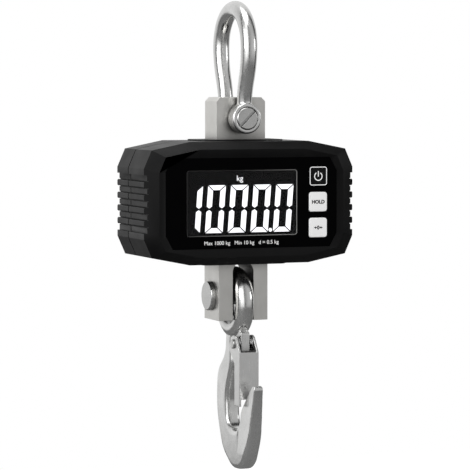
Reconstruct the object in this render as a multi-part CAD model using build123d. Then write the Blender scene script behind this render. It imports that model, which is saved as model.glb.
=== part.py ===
from build123d import *
import math
import os

# A digital crane scale: a steel load cell block runs down through a two-part plastic housing. A bow
# shackle hangs it from above and an eye hook with a sprung safety latch carries the load below.
# Millimetres. +X is to the reader's right, +Y is to the back, +Z is up. Shapes are drawn about the
# centre of the housing, then moved so that the origin is where a crane hook bears in the shackle bow.

# Fits
running_gap = 0.05  # radial, pin in bore
slip = 0.02  # radial, between pieces fixed to each other
slide_gap = 0.25  # round a key, door or seal
joint_gap = 0.3  # between parts of different bodies that face each other

# Housing
housing_width = 140.0  # over the grip ribs
housing_height = 76.5
side_depth = 50.0  # front edge of the sides to their rear edge
facet_depth = 5.0  # the sloped band between the sides and the front or rear face
facet_side_run = 8.35
facet_top_run = 4.8
top_flat_half = 39.8  # half the level part of the top
side_flat_half = 21.8  # half the upright part of the sides
shoulder_fall = math.tan(math.radians(11.3))  # slope of the top towards the corners
corner_lean = math.tan(math.radians(24.1))  # slope of the corner chamfers
wall = 2.5
rear_wall = 3.2
seam_y = 4.0
seam_gap = 1.1
seam_groove = 1.3

# Grip ribs on both sides
rib_count = 4
rib_pitch = 8.0
rib_height = 4.0
rib_stand = 1.8
rib_corner = 1.0
rib_groove = 0.5  # narrow slot along each edge of a rib
rib_groove_depth = 0.7

# Front panel, display and keys
panel_half_width = 57.2
panel_half_height = 28.1
panel_corner_x = 4.8
panel_corner_z = 8.6
panel_thickness = 1.2
panel_sink = 0.8  # how far the panel face lies behind the rim
window_width = 74.5
window_height = 41.7
window_x = -6.4
window_z = 0.05
window_corner = 1.6
lens_thickness = 1.0
lens_sink = 0.5
display_margin = 0.4
display_thickness = 2.6
display_air = 0.1
segment_film = 0.1
diffuser_thickness = 3.0
frame_wall = 1.0
board_half_width = 51.0
board_half_height = 27.0
board_thickness = 1.6
board_standoff = 6.5
key_size = 12.0
key_corner = 1.6
key_x = 44.5
key_pitch = 16.2
key_stand = 0.6
key_travel = 0.6
key_flange = 0.9
key_flange_lip = 1.0

# Digits of the display
digit_height = 29.6
digit_width = 11.7
digit_pitch = 15.15
digit_base_z = -18.3
digit_first_x = -46.1  # left foot of the first digit
digit_stroke = 3.4  # uprights
digit_bar = 3.0  # level strokes
digit_gap = 0.5
digit_slant = math.tan(math.radians(4.4))
point_radius = 1.15
point_rise = 1.2

# Load cell block
block_width = 33.0
block_depth = 20.0
block_stand = 27.35  # above the housing
fork_drop = 36.35  # below the housing
fork_front = -14.2  # the lower part is deeper, where the fork holds the hook pin
fork_back = 11.0
fork_start = 2.05  # above the underside of the housing
block_corner = 2.6
slot_width = 14.0
slot_start = 0.85  # above the underside of the housing
pocket_radius = 11.0
pocket_depth = 6.5
pocket_cover = 1.0
gauge_size = (4.0, 7.0, 0.2)
lead_radius = 1.1
lead_stand = 3.2  # the lead runs flat between the block and the board
block_screw_x = 10.0
block_screw_z = 31.0

# Shackle
pin_radius = 6.0
shackle_pin_stand = 14.15  # above the housing
bow_bar = 5.2  # radius of the bar at the crown
bow_foot_bar = 4.75  # and where it meets the boss
bow_foot_y = 15.6
bow_radius = 23.9  # centre line of the crown
bow_rise = 44.6  # pin to the centre of the crown
boss_radius = 9.6
boss_length = 9.8
boss_edge = 1.3
shackle_washer = 1.4
shackle_washer_radius = 9.0
pin_head_radius = 6.9
pin_head_length = 3.4
pin_slot_width = 1.5
pin_slot_depth = 1.2

# Hook pin
hook_pin_drop = 21.35  # below the housing
hook_pin_head_radius = 9.2
hook_pin_head_length = 3.0
hook_pin_groove = 4.9  # radius left in the groove that the set screw holds
set_screw_radius = 2.0
set_screw_length = 5.6
set_screw_socket = 1.15

# Hook and latch, drawn about the centre of the hook pin, with the point towards the front
eye_bar = 6.0
eye_radius = 16.8
hook_half = 5.0  # half the thickness of the body
hook_round = 2.5
neck_radius = 4.9
neck_foot = -24.4
lug_half = 3.1
lug_front = -18.0
rivet_y = -14.1
rivet_z = -29.7
rivet_radius = 1.9
rivet_head_radius = 3.0
rivet_head_length = 1.1
bowl_y = -8.6
bowl_z = -74.6
bowl_radius = 10.6
tip_half = 2.9
tip_top = -54.0
tip_taper_from = -98.4

# Latch
latch_sheet = 1.4
latch_half_width = 6.6
latch_front = -24.0
latch_plate_top = -34.4
latch_plate_end = -64.0
latch_end = -68.4
latch_back = -15.5
latch_ear_radius = 5.4
spring_coil = 4.2
spring_wire = 0.45
spring_turns = 2

# Battery bay
cell_radius = 7.25
cell_length = 50.5
cell_count = 3
cell_pitch = 15.0
tray_wall = 1.2
contact_room = 2.8
door_width = 73.0
door_height = 52.0
door_recess = 1.8
door_ledge = 6.5
door_seal_width = 1.6
door_corner = 3.0
door_screw_x = 32.9

# Fasteners, all M3
screw_radius = 1.5
screw_head_radius = 2.75
screw_head_length = 2.2
socket_radius = 1.25
insert_radius = 2.3
insert_length = 5.0
boss_post_radius = 4.0
shell_screw_x = 57.0
shell_screw_z = 22.0
board_screws = [(-48.4, 23.7), (-48.4, -23.7), (35.0, 25.0), (35.0, -25.0)]
board_post_radius = 2.2
chip_places = [  # x, z, width, height, thickness
    (20, 6, 12, 12, 1.6),
    (-6, 17, 6, 9, 1.5),
    (42, -18, 7, 7, 2.2),
    (-30, -14, 9, 5, 4.6),
]

# Seals round the block
seal_half_width = 28.0
seal_rim = 4.0
seal_plate = 0.9
seal_neck = 1.6

# Worked out from the values above
half_width = housing_width / 2
half_height = housing_height / 2
edge_y = side_depth / 2
face_y = edge_y + facet_depth
panel_face = -face_y + panel_sink
panel_back = panel_face + panel_thickness
front_wall_inner = -edge_y - 0.5
rear_wall_inner = face_y - rear_wall
lens_front = panel_face + lens_sink
lens_back = lens_front + lens_thickness
display_front = lens_back + display_air + segment_film
display_back = display_front + display_thickness
board_front = front_wall_inner + board_standoff
board_back = board_front + board_thickness
block_top = half_height + block_stand
block_bottom = -half_height - fork_drop
fork_top = fork_start - half_height
slot_top = slot_start - half_height
shackle_pin_z = half_height + shackle_pin_stand
hook_pin_z = -half_height - hook_pin_drop
block_front = -block_depth / 2
block_back = block_depth / 2
lead_plane = block_front - lead_stand
washer_inner = block_back + joint_gap
boss_inner = washer_inner + shackle_washer
boss_outer = boss_inner + boss_length
set_screw_x = (slot_width + block_width) / 4
crown_z = shackle_pin_z + bow_rise
seat_z = crown_z + bow_radius - bow_bar
eye_hole = eye_radius - eye_bar
eye_z = pin_radius + slide_gap - eye_hole
recess_half = rib_pitch * rib_count / 2 + rib_height / 2
key_front = panel_face - key_stand
key_flange_front = front_wall_inner + slide_gap / 2
key_flange_back = key_flange_front + key_flange
switch_top = key_flange_back + key_travel + running_gap
tray_floor = block_back + slide_gap
cell_y = tray_floor + tray_wall + slide_gap + cell_radius
tray_half_width = cell_length / 2 + contact_room + tray_wall
tray_half_height = cell_pitch * cell_count / 2 + tray_wall
tray_back = cell_y + cell_radius + slide_gap


def outline(half_w, half_h, flat_half, side_half):
    """Twelve corners of the housing's front view, as (x, z)."""
    # the shoulder line falls from (flat_half, half_h), the corner line leans in from (half_w, side_half)
    across = half_w + corner_lean * side_half - flat_half
    z = (half_h - shoulder_fall * across) / (1 - shoulder_fall * corner_lean)
    x = half_w - corner_lean * (z - side_half)
    quarter = [(flat_half, half_h), (x, z), (half_w, side_half)]
    right = quarter + [(px, -pz) for px, pz in reversed(quarter)]
    return right + [(-px, pz) for px, pz in reversed(right)]


def prism_y(points, y0, y1):
    """A prism along Y whose section is the polygon of (x, z) points."""
    face = Face(Wire.make_polygon([(x, y0, z) for x, z in points], close=True))
    return extrude(face, amount=y1 - y0, dir=(0, 1, 0))


def prism_x(points, x0, x1):
    """A prism along X whose section is the polygon of (y, z) points."""
    face = Face(Wire.make_polygon([(x0, y, z) for y, z in points], close=True))
    return extrude(face, amount=x1 - x0, dir=(1, 0, 0))


def taper_y(points0, y0, points1, y1):
    """A ruled solid between two polygons with the same number of corners."""
    wires = [
        Wire.make_polygon([(x, y, z) for x, z in points], close=True)
        for points, y in ((points0, y0), (points1, y1))
    ]
    return Solid.make_loft(wires, ruled=True)


def block_of(x0, x1, y0, y1, z0, z1):
    """A plain box between two corners."""
    centre = ((x0 + x1) / 2, (y0 + y1) / 2, (z0 + z1) / 2)
    return Pos(*centre) * Box(abs(x1 - x0), abs(y1 - y0), abs(z1 - z0))


def rod_x(y, z, radius, x0, x1):
    return Pos((x0 + x1) / 2, y, z) * Rot(0, 90, 0) * Cylinder(radius, abs(x1 - x0))


def rod_y(x, z, radius, y0, y1):
    return Pos(x, (y0 + y1) / 2, z) * Rot(90, 0, 0) * Cylinder(radius, abs(y1 - y0))


def pad_y(x, z, width, height, radius, y0, y1):
    """A rounded rectangle seen from the front, from y0 back to y1."""
    plane = Plane((0, y0, 0), x_dir=(1, 0, 0), z_dir=(0, -1, 0))
    return extrude(plane * Pos(x, z) * RectangleRounded(width, height, radius), amount=y0 - y1)


def group(shapes):
    """Separate solids kept as separate solids in one node."""
    return Compound(children=[solid for shape in shapes for solid in shape.solids()])


def mirrored_x(shape):
    return shape + mirror(shape, about=Plane.YZ)


outer = outline(half_width, half_height, top_flat_half, side_flat_half)
inner_rim = outline(
    half_width - facet_side_run,
    half_height - facet_top_run,
    top_flat_half - facet_top_run,
    side_flat_half - facet_top_run / 2,
)
cavity = outline(
    half_width - rib_stand - wall,
    half_height - wall,
    top_flat_half - wall / 2,
    side_flat_half - wall / 2,
)
gasket_edge = outline(
    half_width - rib_stand - seam_groove,
    half_height - seam_groove,
    top_flat_half - seam_groove / 2,
    side_flat_half - seam_groove / 2,
)


def panel_points(gap=0.0, corners=8):
    """The front panel's outline. With twelve corners it pairs with the rim for a taper."""
    w = panel_half_width + gap
    h = panel_half_height + gap
    quarter = [(w - panel_corner_x, h), (w, h - panel_corner_z)]
    if corners == 12:
        quarter = [(top_flat_half - facet_top_run, h)] + quarter
    right = quarter + [(x, -z) for x, z in reversed(quarter)]
    return right + [(-x, z) for x, z in reversed(right)]


def grip_ribs():
    """Rounded bars along both sides of the housing."""
    height = rib_height
    first = -rib_pitch * (rib_count - 1) / 2
    bars = []
    for k in range(rib_count):
        z = first + rib_pitch * k
        plane = Plane((0, -face_y, 0), x_dir=(1, 0, 0), z_dir=(0, -1, 0))
        section = plane * Pos(0, z) * RectangleRounded(housing_width, height, rib_corner)
        bars.append(extrude(section, amount=-2 * face_y))
    return bars


def rib_grooves():
    """Narrow slots that set each rib off from the recessed bands beside it."""
    first = -rib_pitch * (rib_count - 1) / 2
    floor = half_width - rib_stand - rib_groove_depth
    slots = []
    for k in range(rib_count):
        for edge in (-1, 1):
            z = first + rib_pitch * k + edge * (rib_height + rib_groove) / 2
            for side in (-1, 1):
                low, high = sorted((side * floor, side * (half_width + 1)))
                slots.append(block_of(low, high, -face_y, face_y, z - rib_groove / 2, z + rib_groove / 2))
    return slots


def housing_solid():
    """The outside shape of both shells together, grip ribs included."""
    full = prism_y(outer, -edge_y, edge_y)
    full += taper_y(inner_rim, -face_y, outer, -edge_y)
    full += taper_y(outer, edge_y, inner_rim, face_y)
    body = full
    for side in (-1, 1):
        low, high = sorted((side * (half_width - rib_stand), side * (half_width + 1)))
        body -= block_of(low, high, -face_y, face_y, -recess_half, recess_half)
    for bar in grip_ribs():
        body += bar & full
    return body - rib_grooves()


def neck_of(up, grow, z0, z1):
    """The block's section, grown all round, at the top (up = 1) or bottom (up = -1) of the housing."""
    front, back = (block_front, block_back) if up > 0 else (fork_front, fork_back)
    w = block_width / 2 + grow
    return block_of(-w, w, front - grow, back + grow, z0, z1)


def block_openings(grow):
    """The ways through the top and bottom of the housing for the block and its seals."""
    roof = half_height - 2 * wall
    return [neck_of(up, grow, up * roof, up * (half_height + 1)) for up in (-1, 1)]


def shell_screw_places():
    return [(sx * shell_screw_x, sz * shell_screw_z) for sx in (-1, 1) for sz in (-1, 1)]


def block_screw_places():
    return [(sx * block_screw_x, sz * block_screw_z) for sx in (-1, 1) for sz in (-1, 1)]


def key_places():
    return {
        "power_key": key_pitch,
        "hold_key": 0.0,
        "zero_key": -key_pitch,
    }


def front_shell(body):
    front_end = seam_y - seam_gap / 2
    w, h = half_width + 1, half_height + 1
    shell = body & block_of(-w, w, -face_y - 1, front_end, -h, h)
    shell -= prism_y(cavity, front_wall_inner, seam_y + 1)
    shell -= taper_y(inner_rim, -face_y - 0.001, panel_points(0, 12), panel_face)
    shell -= prism_y(panel_points(slide_gap / 2), panel_face - 1, panel_back)
    display_w = window_width + 2 * (display_margin + slide_gap)
    display_h = window_height + 2 * (display_margin + slide_gap)
    y0, y1 = panel_back - 1, front_wall_inner + 1
    shell -= pad_y(window_x, window_z, display_w, display_h, window_corner, y0, y1)
    for z in key_places().values():
        hole = key_size + 2 * slide_gap
        shell -= pad_y(key_x, z, hole, hole, key_corner, y0, y1)
    for x, z in shell_screw_places():
        shell += rod_y(x, z, boss_post_radius, front_wall_inner - 0.5, front_end)
        shell -= rod_y(x, z, insert_radius, front_end - insert_length, front_end)
        shell -= rod_y(x, z, screw_radius + 0.1, front_end - 2 * insert_length, front_end)
    for x, z in block_screw_places():
        shell += rod_y(x, z, insert_radius + 1.2, front_wall_inner - 0.5, block_front)
        shell -= rod_y(x, z, screw_radius, block_front - 2 * insert_length, block_front)
    for x, z in board_screws:
        shell += rod_y(x, z, board_post_radius, front_wall_inner - 0.5, board_front)
        shell -= rod_y(x, z, screw_radius, board_front - insert_length, board_front)
    shell -= block_openings(seal_neck)
    return shell


def rear_shell(body):
    rear_start = seam_y + seam_gap / 2
    w, h = half_width + 1, half_height + 1
    shell = body & block_of(-w, w, rear_start, face_y + 1, -h, h)
    shell -= prism_y(cavity, seam_y - 1, rear_wall_inner)
    for x, z in shell_screw_places():
        shell += rod_y(x, z, boss_post_radius, rear_start, rear_wall_inner + 0.5)
    for x in (-door_screw_x, door_screw_x):
        shell += rod_y(x, 0, insert_radius + 1.2, rear_wall_inner - insert_length, rear_wall_inner + 0.5)
        shell -= rod_y(x, 0, screw_radius + running_gap, rear_wall_inner - insert_length, face_y + 1)
    for x, z in shell_screw_places():
        shell -= rod_y(x, z, screw_radius + 0.15, seam_y - 1, face_y + 1)
        shell -= rod_y(x, z, screw_head_radius + 0.15, face_y - screw_head_length - 0.8, face_y + 1)
    door_w = door_width + 2 * slide_gap
    door_h = door_height + 2 * slide_gap
    shell -= pad_y(0, 0, door_w, door_h, door_corner, face_y - door_recess, face_y + 1)
    bay_w = door_width - 2 * door_ledge
    bay_h = door_height - 2 * door_ledge / 2
    shell -= pad_y(0, 0, bay_w, bay_h, door_corner / 2, rear_wall_inner - 1, face_y + 1)
    shell -= block_openings(seal_neck)
    return shell


def shell_gasket():
    low, high = seam_y - seam_gap / 2, seam_y + seam_gap / 2
    return prism_y(gasket_edge, low, high) - prism_y(cavity, low, high) - block_openings(seal_neck)


def block_seal(up):
    """The rubber frame that closes the housing round the block, above (up = 1) or below (up = -1)."""
    skin, roof = up * half_height, up * (half_height - wall)
    front, back = (block_front, block_back) if up > 0 else (fork_front, fork_back)
    low, high = sorted((skin, skin + up * seal_plate))
    seal = block_of(-seal_half_width, seal_half_width, front - seal_rim, back + seal_rim, low, high)
    seal = fillet(seal.edges().filter_by(Axis.Z), seal_rim)
    return seal + neck_of(up, seal_neck, roof, skin) - neck_of(up, slip, roof - 2 * up, skin + 2 * up)


def front_panel():
    panel = prism_y(panel_points(), panel_face, panel_back)
    y0, y1 = panel_face - 1, panel_back + 1
    panel -= pad_y(window_x, window_z, window_width, window_height, window_corner, y0, y1)
    for z in key_places().values():
        hole = key_size + 2 * slide_gap
        panel -= pad_y(key_x, z, hole, hole, key_corner, y0, y1)
    return panel


def display_window():
    gap = 0.1
    width, height = window_width - 2 * gap, window_height - 2 * gap
    return pad_y(window_x, window_z, width, height, window_corner - gap, lens_front, lens_back)


def display_glass():
    grown = 2 * display_margin
    width, height = window_width + grown, window_height + grown
    return pad_y(window_x, window_z, width, height, window_corner, display_front, display_back)


def slanted(points, foot_x):
    """Leans a digit's (x, z) points to the right and puts its foot in place."""
    return [(foot_x + x + digit_slant * z, digit_base_z + z) for x, z in points]


def upright_segment(foot_x, right, upper):
    """One of the four upright bars of a digit, its ends cut to a point at mid height and mitred outside."""
    s, b, g, w, h = digit_stroke, digit_bar, digit_gap, digit_width, digit_height
    mid = h / 2
    low = [(0, g), (0, mid - s / 2), (s / 2, mid - g), (s, mid - s / 2), (s, b + g)]
    points = [(w - x, z) for x, z in low] if right else low
    points = [(x, h - z) for x, z in points] if upper else points
    return slanted(points, foot_x)


def level_segment(foot_x, top):
    """The top or bottom bar of a digit."""
    s, b, g, w, h = digit_stroke, digit_bar, digit_gap, digit_width, digit_height
    points = [(g, 0), (w - g, 0), (w - s - g, b), (s + g, b)]
    points = [(x, h - z) for x, z in points] if top else points
    return slanted(points, foot_x)


def display_digits():
    """The lit figures of the reading, one full scale load, as films on the display."""
    shapes = []
    for k in range(5):
        foot = digit_first_x + digit_pitch * k
        sides = (True,) if k == 0 else (False, True)
        for right in sides:
            for upper in (False, True):
                shapes.append(upright_segment(foot, right, upper))
        if k:
            shapes += [level_segment(foot, top) for top in (False, True)]
    films = [prism_y(points, display_front - segment_film, display_front) for points in shapes]
    point_x = digit_first_x + (7 * digit_pitch + digit_width) / 2  # midway between the last two digits
    point_z = digit_base_z + point_rise
    films.append(rod_y(point_x, point_z, point_radius, display_front - segment_film, display_front))
    return group(films)


def display_frame():
    grown = 2 * (display_margin + 0.1)
    inner_w, inner_h = window_width + grown, window_height + grown
    w, h = inner_w + 2 * frame_wall, inner_h + 2 * frame_wall
    frame = pad_y(window_x, window_z, w, h, 1.0, front_wall_inner, board_front)
    return frame - pad_y(window_x, window_z, inner_w, inner_h, 0.7, front_wall_inner - 1, board_front + 1)


def backlight_diffuser():
    back = display_back + diffuser_thickness
    return pad_y(window_x, window_z, window_width, window_height, 0.6, display_back, back)


def main_board():
    w, h = board_half_width, board_half_height
    board = block_of(-w, w, board_front, board_back, -h, h)
    for x, z in board_screws:
        board -= rod_y(x, z, screw_radius + 0.1, board_front - 1, board_back + 1)
    return board


def key_cap(z):
    """A square key with a lip behind the wall that keeps it in, and a stem to its switch."""
    cap = pad_y(key_x, z, key_size, key_size, key_corner, key_front, key_flange_front)
    cap = fillet(cap.faces().sort_by(Axis.Y)[0].edges(), 0.4)
    lip = key_size + 2 * (slide_gap + key_flange_lip)
    return cap + pad_y(key_x, z, lip, lip, key_corner, key_flange_front, key_flange_back)


def tactile_switches():
    parts = []
    for z in key_places().values():
        body = block_of(key_x - 3, key_x + 3, switch_top + 1.4, board_front, z - 3, z + 3)
        parts.append(body + rod_y(key_x, z, 1.7, switch_top, switch_top + 1.5))
    return group(parts)


def board_chips():
    """The processor, the converter, the regulator and the connector for the load cell lead."""
    chips = []
    for x, z, w, h, t in chip_places:
        chips.append(block_of(x - w / 2, x + w / 2, board_back, board_back + t, z - h / 2, z + h / 2))
    return group(chips)


def buzzer():
    body = rod_y(-40, 12, 4.5, board_back, board_back + 4.0)
    return body - rod_y(-40, 12, 0.8, board_back + 3.0, board_back + 5.0)


def load_cell_block():
    w, c = block_width / 2, block_corner
    right = [(w, block_bottom), (w, block_top - c), (w - c, block_top)]
    profile = right + [(-x, z) for x, z in reversed(right)]
    block = prism_y(profile, block_front, block_back)
    block += block_of(-w, w, fork_front, fork_back, block_bottom, fork_top)
    arch = slot_width / 2
    block -= block_of(-arch, arch, fork_front - 1, fork_back + 1, block_bottom - 1, slot_top - arch)
    block -= rod_y(0, slot_top - arch, arch, fork_front - 1, fork_back + 1)
    block -= rod_y(set_screw_x, hook_pin_z, set_screw_radius + running_gap, 0, fork_back + 1)
    block -= rod_y(0, shackle_pin_z, pin_radius + running_gap, block_front - 1, block_back + 1)
    block -= rod_x(0, hook_pin_z, pin_radius + running_gap, -w - 1, w + 1)
    block -= rod_y(0, 0, pocket_radius, block_front - 1, block_front + pocket_depth)
    block -= rod_y(0, 0, pocket_radius, block_back - pocket_depth, block_back + 1)
    for x, z in block_screw_places():
        block -= rod_y(x, z, screw_radius + 0.2, block_front - 1, block_back + 1)
    return block


def gauge_covers():
    front = rod_y(0, 0, pocket_radius - running_gap, block_front, block_front + pocket_cover)
    front -= rod_y(0, 0, lead_radius, block_front - 1, block_front + pocket_cover + 1)
    rear = rod_y(0, 0, pocket_radius - running_gap, block_back - pocket_cover, block_back)
    return group([front, rear])


def strain_gauges():
    w, h, t = gauge_size
    web_front, web_back = block_front + pocket_depth, block_back - pocket_depth
    parts = []
    for x in (-3.6, 3.6):
        parts.append(block_of(x - w / 2, x + w / 2, web_front - t, web_front, -h / 2, h / 2))
        parts.append(block_of(x - w / 2, x + w / 2, web_back, web_back + t, -h / 2, h / 2))
    return group(parts)


def load_cell_lead():
    """The screened lead from the gauges to its connector on the board."""
    start = (0, block_front + pocket_cover, 0)
    points = [start, (0, lead_plane, 0), (-11, lead_plane, -14), (-25.5, lead_plane, -14)]
    path = FilletPolyline(*points, radius=[2.6, 8.0])
    plane = Plane(path @ 0, z_dir=path % 0)
    return sweep(plane * Circle(lead_radius), path=path)


def arc_wire(arcs):
    """A wire in the YZ plane through arcs given by three (y, z) points each."""
    return Wire([ThreePointArc(*[(0, y, z) for y, z in arc]) for arc in arcs])


def shackle_washers():
    parts = []
    for side in (-1, 1):
        low, high = sorted((side * washer_inner, side * boss_inner))
        washer = rod_y(0, shackle_pin_z, shackle_washer_radius, low, high)
        washer = chamfer(washer.edges().filter_by(GeomType.CIRCLE), 0.3)
        parts.append(washer - rod_y(0, shackle_pin_z, pin_radius + running_gap, low - 1, high + 1))
    return group(parts)


def shackle_bow():
    """A round bar bent to a bow, with a turned boss at each end for the pin."""
    foot_y, foot_z = bow_foot_y, shackle_pin_z + boss_radius / 2
    spread = bow_radius - foot_y
    rise = crown_z - foot_z
    turn = 2 * math.atan2(spread, rise)
    bend = rise / (2 * math.sin(turn))
    part_y, part_z = bend * (1 - math.cos(turn / 2)), bend * math.sin(turn / 2)
    foot, middle = (foot_y, foot_z), (foot_y + spread / 2, foot_z + rise / 2)
    leg = [
        (foot, (foot_y + part_y, foot_z + part_z), middle),
        (middle, (bow_radius - part_y, crown_z - part_z), (bow_radius, crown_z)),
    ]
    over = [((bow_radius, crown_z), (0, crown_z + bow_radius), (-bow_radius, crown_z))]
    foot_plane = Plane((0, foot_y, foot_z), z_dir=(0, 0, 1))
    crown_plane = Plane((0, bow_radius, crown_z), z_dir=(0, 0, 1))
    ends = [foot_plane * Circle(bow_foot_bar), crown_plane * Circle(bow_bar)]
    half = sweep(ends, path=arc_wire(leg), multisection=True)
    crown = sweep(crown_plane * Circle(bow_bar), path=arc_wire(over))
    bow = crown + half + mirror(half, about=Plane.XZ)
    for side in (-1, 1):
        low, high = sorted((side * boss_inner, side * boss_outer))
        boss = rod_y(0, shackle_pin_z, boss_radius, low, high)
        bow += fillet(boss.edges().filter_by(GeomType.CIRCLE), boss_edge)
        low, high = sorted((0, side * boss_inner))
        bow -= rod_y(0, shackle_pin_z, boss_radius, low, high)
    bow -= rod_y(0, shackle_pin_z, pin_radius + slip, -boss_outer - 1, boss_outer + 1)
    bow -= rod_y(0, shackle_pin_z, pin_head_radius + 0.2, -boss_outer - 1, -boss_outer + pin_head_length)
    return bow


def shackle_pin():
    """A slotted screw pin, its head sunk in the front boss and its tail threaded in the rear one."""
    front = -boss_outer - 0.4
    pin = rod_y(0, shackle_pin_z, pin_radius, front, boss_outer)
    head = rod_y(0, shackle_pin_z, pin_head_radius, front, -boss_outer + pin_head_length)
    head = chamfer(head.edges().filter_by(GeomType.CIRCLE).sort_by(Axis.Y)[0], 0.5)
    cutter = Box(3 * pin_head_radius, 2 * pin_slot_depth, pin_slot_width)
    slot = Pos(0, front, shackle_pin_z) * Rot(0, -45, 0) * cutter
    return pin + head - slot


def hook_pin():
    """A headed pin, flush with the block on its far side and held by a set screw in its groove."""
    left = -block_width / 2
    pin = rod_x(0, hook_pin_z, pin_radius, left, block_width / 2)
    head = rod_x(0, hook_pin_z, hook_pin_head_radius, left - hook_pin_head_length, left)
    head = chamfer(head.edges().filter_by(GeomType.CIRCLE).sort_by(Axis.X)[0], 0.5)
    groove_half = set_screw_radius + running_gap
    groove = rod_x(0, hook_pin_z, pin_radius + 1, set_screw_x - groove_half, set_screw_x + groove_half)
    groove -= rod_x(0, hook_pin_z, hook_pin_groove, set_screw_x - groove_half, set_screw_x + groove_half)
    return pin + head - groove


def hook_pin_screw():
    """The set screw that holds the hook pin, let in from the back of the fork."""
    tip = hook_pin_groove + running_gap
    end = tip + set_screw_length
    screw = rod_y(set_screw_x, hook_pin_z, set_screw_radius, tip, end)
    socket = Pos(set_screw_x, end, hook_pin_z) * Rot(90, 0, 0) * RegularPolygon(set_screw_socket, 6)
    return screw - extrude(socket, amount=1.6, both=True)


def hook_outline():
    """The forged body below the neck in the YZ plane, from the neck's back round."""
    bowl_left = bowl_y - bowl_radius
    bowl_right = bowl_y + bowl_radius
    bowl_low = bowl_z - bowl_radius
    corners = [  # y, z, corner radius
        (4.7, neck_foot, 1.0),
        (5.4, -36.4, 14.0),
        (20.0, -49.4, 17.0),
        (21.6, -74.4, 46.0),
        (11.0, -98.9, 24.0),
        (-6.0, -109.4, 16.0),
        (-23.5, -108.4, 15.0),
        (-34.5, -87.4, 36.0),
        (-40.6, tip_top, 2.4),
        (-36.2, tip_top, 2.0),
        (bowl_left + 0.6, -71.9, 9.0),
        (bowl_left + 1.4, bowl_low, 9.5),
        (bowl_right + 0.4, bowl_low, 10.4),
        (bowl_right + 2.2, -63.4, 26.0),
        (-4.9, -44.4, 20.0),
        (-4.7, neck_foot, 1.0),
    ]
    points = [(0, y, z) for y, z, radius in corners]
    return FilletPolyline(*points, radius=[radius for y, z, radius in corners], close=True)


def hook_body():
    """Eye, neck, latch lug and bowl, forged in one piece. Its thickness falls towards the point."""
    side_face = Pos(-hook_half, 0, 0) * Face(Wire(hook_outline().edges()))
    body = extrude(side_face, amount=2 * hook_half, dir=(1, 0, 0))
    rims = [e for e in body.edges() if e.bounding_box().size.X < hook_half and e.center().Z < neck_foot - 1]
    body = fillet(rims, hook_round)
    for side in (-1, 1):
        near, tip, far = side * hook_half, side * tip_half, side * 3 * hook_half
        wedge = [(near, tip_taper_from), (tip, tip_top), (tip, tip_top + 5), (far, tip_top + 5)]
        body -= prism_y(wedge + [(far, tip_taper_from)], -50, bowl_y - bowl_radius + 3.0)
    eye = Pos(0, 0, eye_z) * Rot(0, 90, 0) * Torus(eye_radius, eye_bar)
    neck = Pos(0, 0, neck_foot) * Cylinder(neck_radius, 13.0)
    lug_side = [(lug_front, -22.9), (0, -14.4), (3, -14.4), (3, -40.4), (-6.0, -43.4), (lug_front, -35.9)]
    lug = prism_x(lug_side, -lug_half, lug_half)
    inside_eye = rod_x(0, eye_z, eye_hole, -hook_half - 1, hook_half + 1)
    body = body + neck + (lug - inside_eye) + eye
    return body - rod_x(rivet_y, rivet_z, rivet_radius + slip, -hook_half, hook_half)


def latch_rivet():
    """The rivet that the latch turns on, with a formed head outside each ear."""
    reach = latch_half_width + running_gap
    rivet = rod_x(rivet_y, rivet_z, rivet_radius, -reach, reach)
    for side in (-1, 1):
        low, high = sorted((side * reach, side * (reach + rivet_head_length)))
        head = rod_x(rivet_y, rivet_z, rivet_head_radius, low, high)
        rim = head.edges().filter_by(GeomType.CIRCLE).sort_by(Axis.X)[-1 if side > 0 else 0]
        rivet += fillet(rim, 0.7)
    return rivet


def hook_latch():
    """A folded sheet: two ears on the rivet, a front plate, and flanges that straddle the hook's point."""
    ear = [
        (rivet_y + 6.6, rivet_z - 3.2),
        (rivet_y + 2.7, rivet_z - 8.7),
        (latch_back, rivet_z - 12.4),
        (latch_back, latch_end),
        (latch_front, latch_end),
        (latch_front, latch_plate_top),
        (rivet_y - 5.0, rivet_z + 2.4),
        (rivet_y, rivet_z + 2.0),
    ]
    w = latch_half_width
    inner = w - latch_sheet
    flange = prism_x(ear, inner, w) + rod_x(rivet_y, rivet_z, latch_ear_radius, inner, w)
    flange += rod_x(rivet_y + 1.5, rivet_z - 2.4, latch_ear_radius, inner, w)
    plate = block_of(-w, w, latch_front, latch_front + latch_sheet, latch_plate_end, latch_plate_top)
    latch = mirrored_x(flange) + plate
    return latch - rod_x(rivet_y, rivet_z, rivet_radius + running_gap, -w - 1, w + 1)


def latch_spring():
    """A torsion spring: a coil on the rivet beside the lug, one leg on the plate and one beside the lug."""
    pitch = 2.1 * spring_wire
    coils = []
    for side in (-1, 1):
        for k in range(spring_turns):
            x = side * (lug_half + 0.15 + spring_wire + pitch * k)
            coils.append(Pos(x, rivet_y, rivet_z) * Rot(0, 90, 0) * Torus(spring_coil, spring_wire))
        x = side * (lug_half + 0.15 + spring_wire + pitch * (spring_turns - 1))
        leg_y = rivet_y - spring_coil
        leg = Pos(x, leg_y, rivet_z - 6.5) * Cylinder(spring_wire, 13.0)
        coils.append(leg)
    return group(coils)


def screw_y(x, z, head_y, length, facing):
    """A socket head screw along Y. facing is the way its head points: 1 to the back, -1 to the front."""
    shank = rod_y(x, z, screw_radius, *sorted((head_y, head_y - facing * length)))
    head = rod_y(x, z, screw_head_radius, *sorted((head_y, head_y + facing * screw_head_length)))
    top = head_y + facing * screw_head_length
    socket = extrude(RegularPolygon(socket_radius, 6), amount=1.3, both=True)
    return shank + head - Pos(x, top, z) * Rot(90, 0, 0) * socket


def shell_screws():
    head_y = face_y - screw_head_length - 0.8
    length = head_y - seam_y + insert_length - 0.5
    return group([screw_y(x, z, head_y, length, 1) for x, z in shell_screw_places()])


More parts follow.
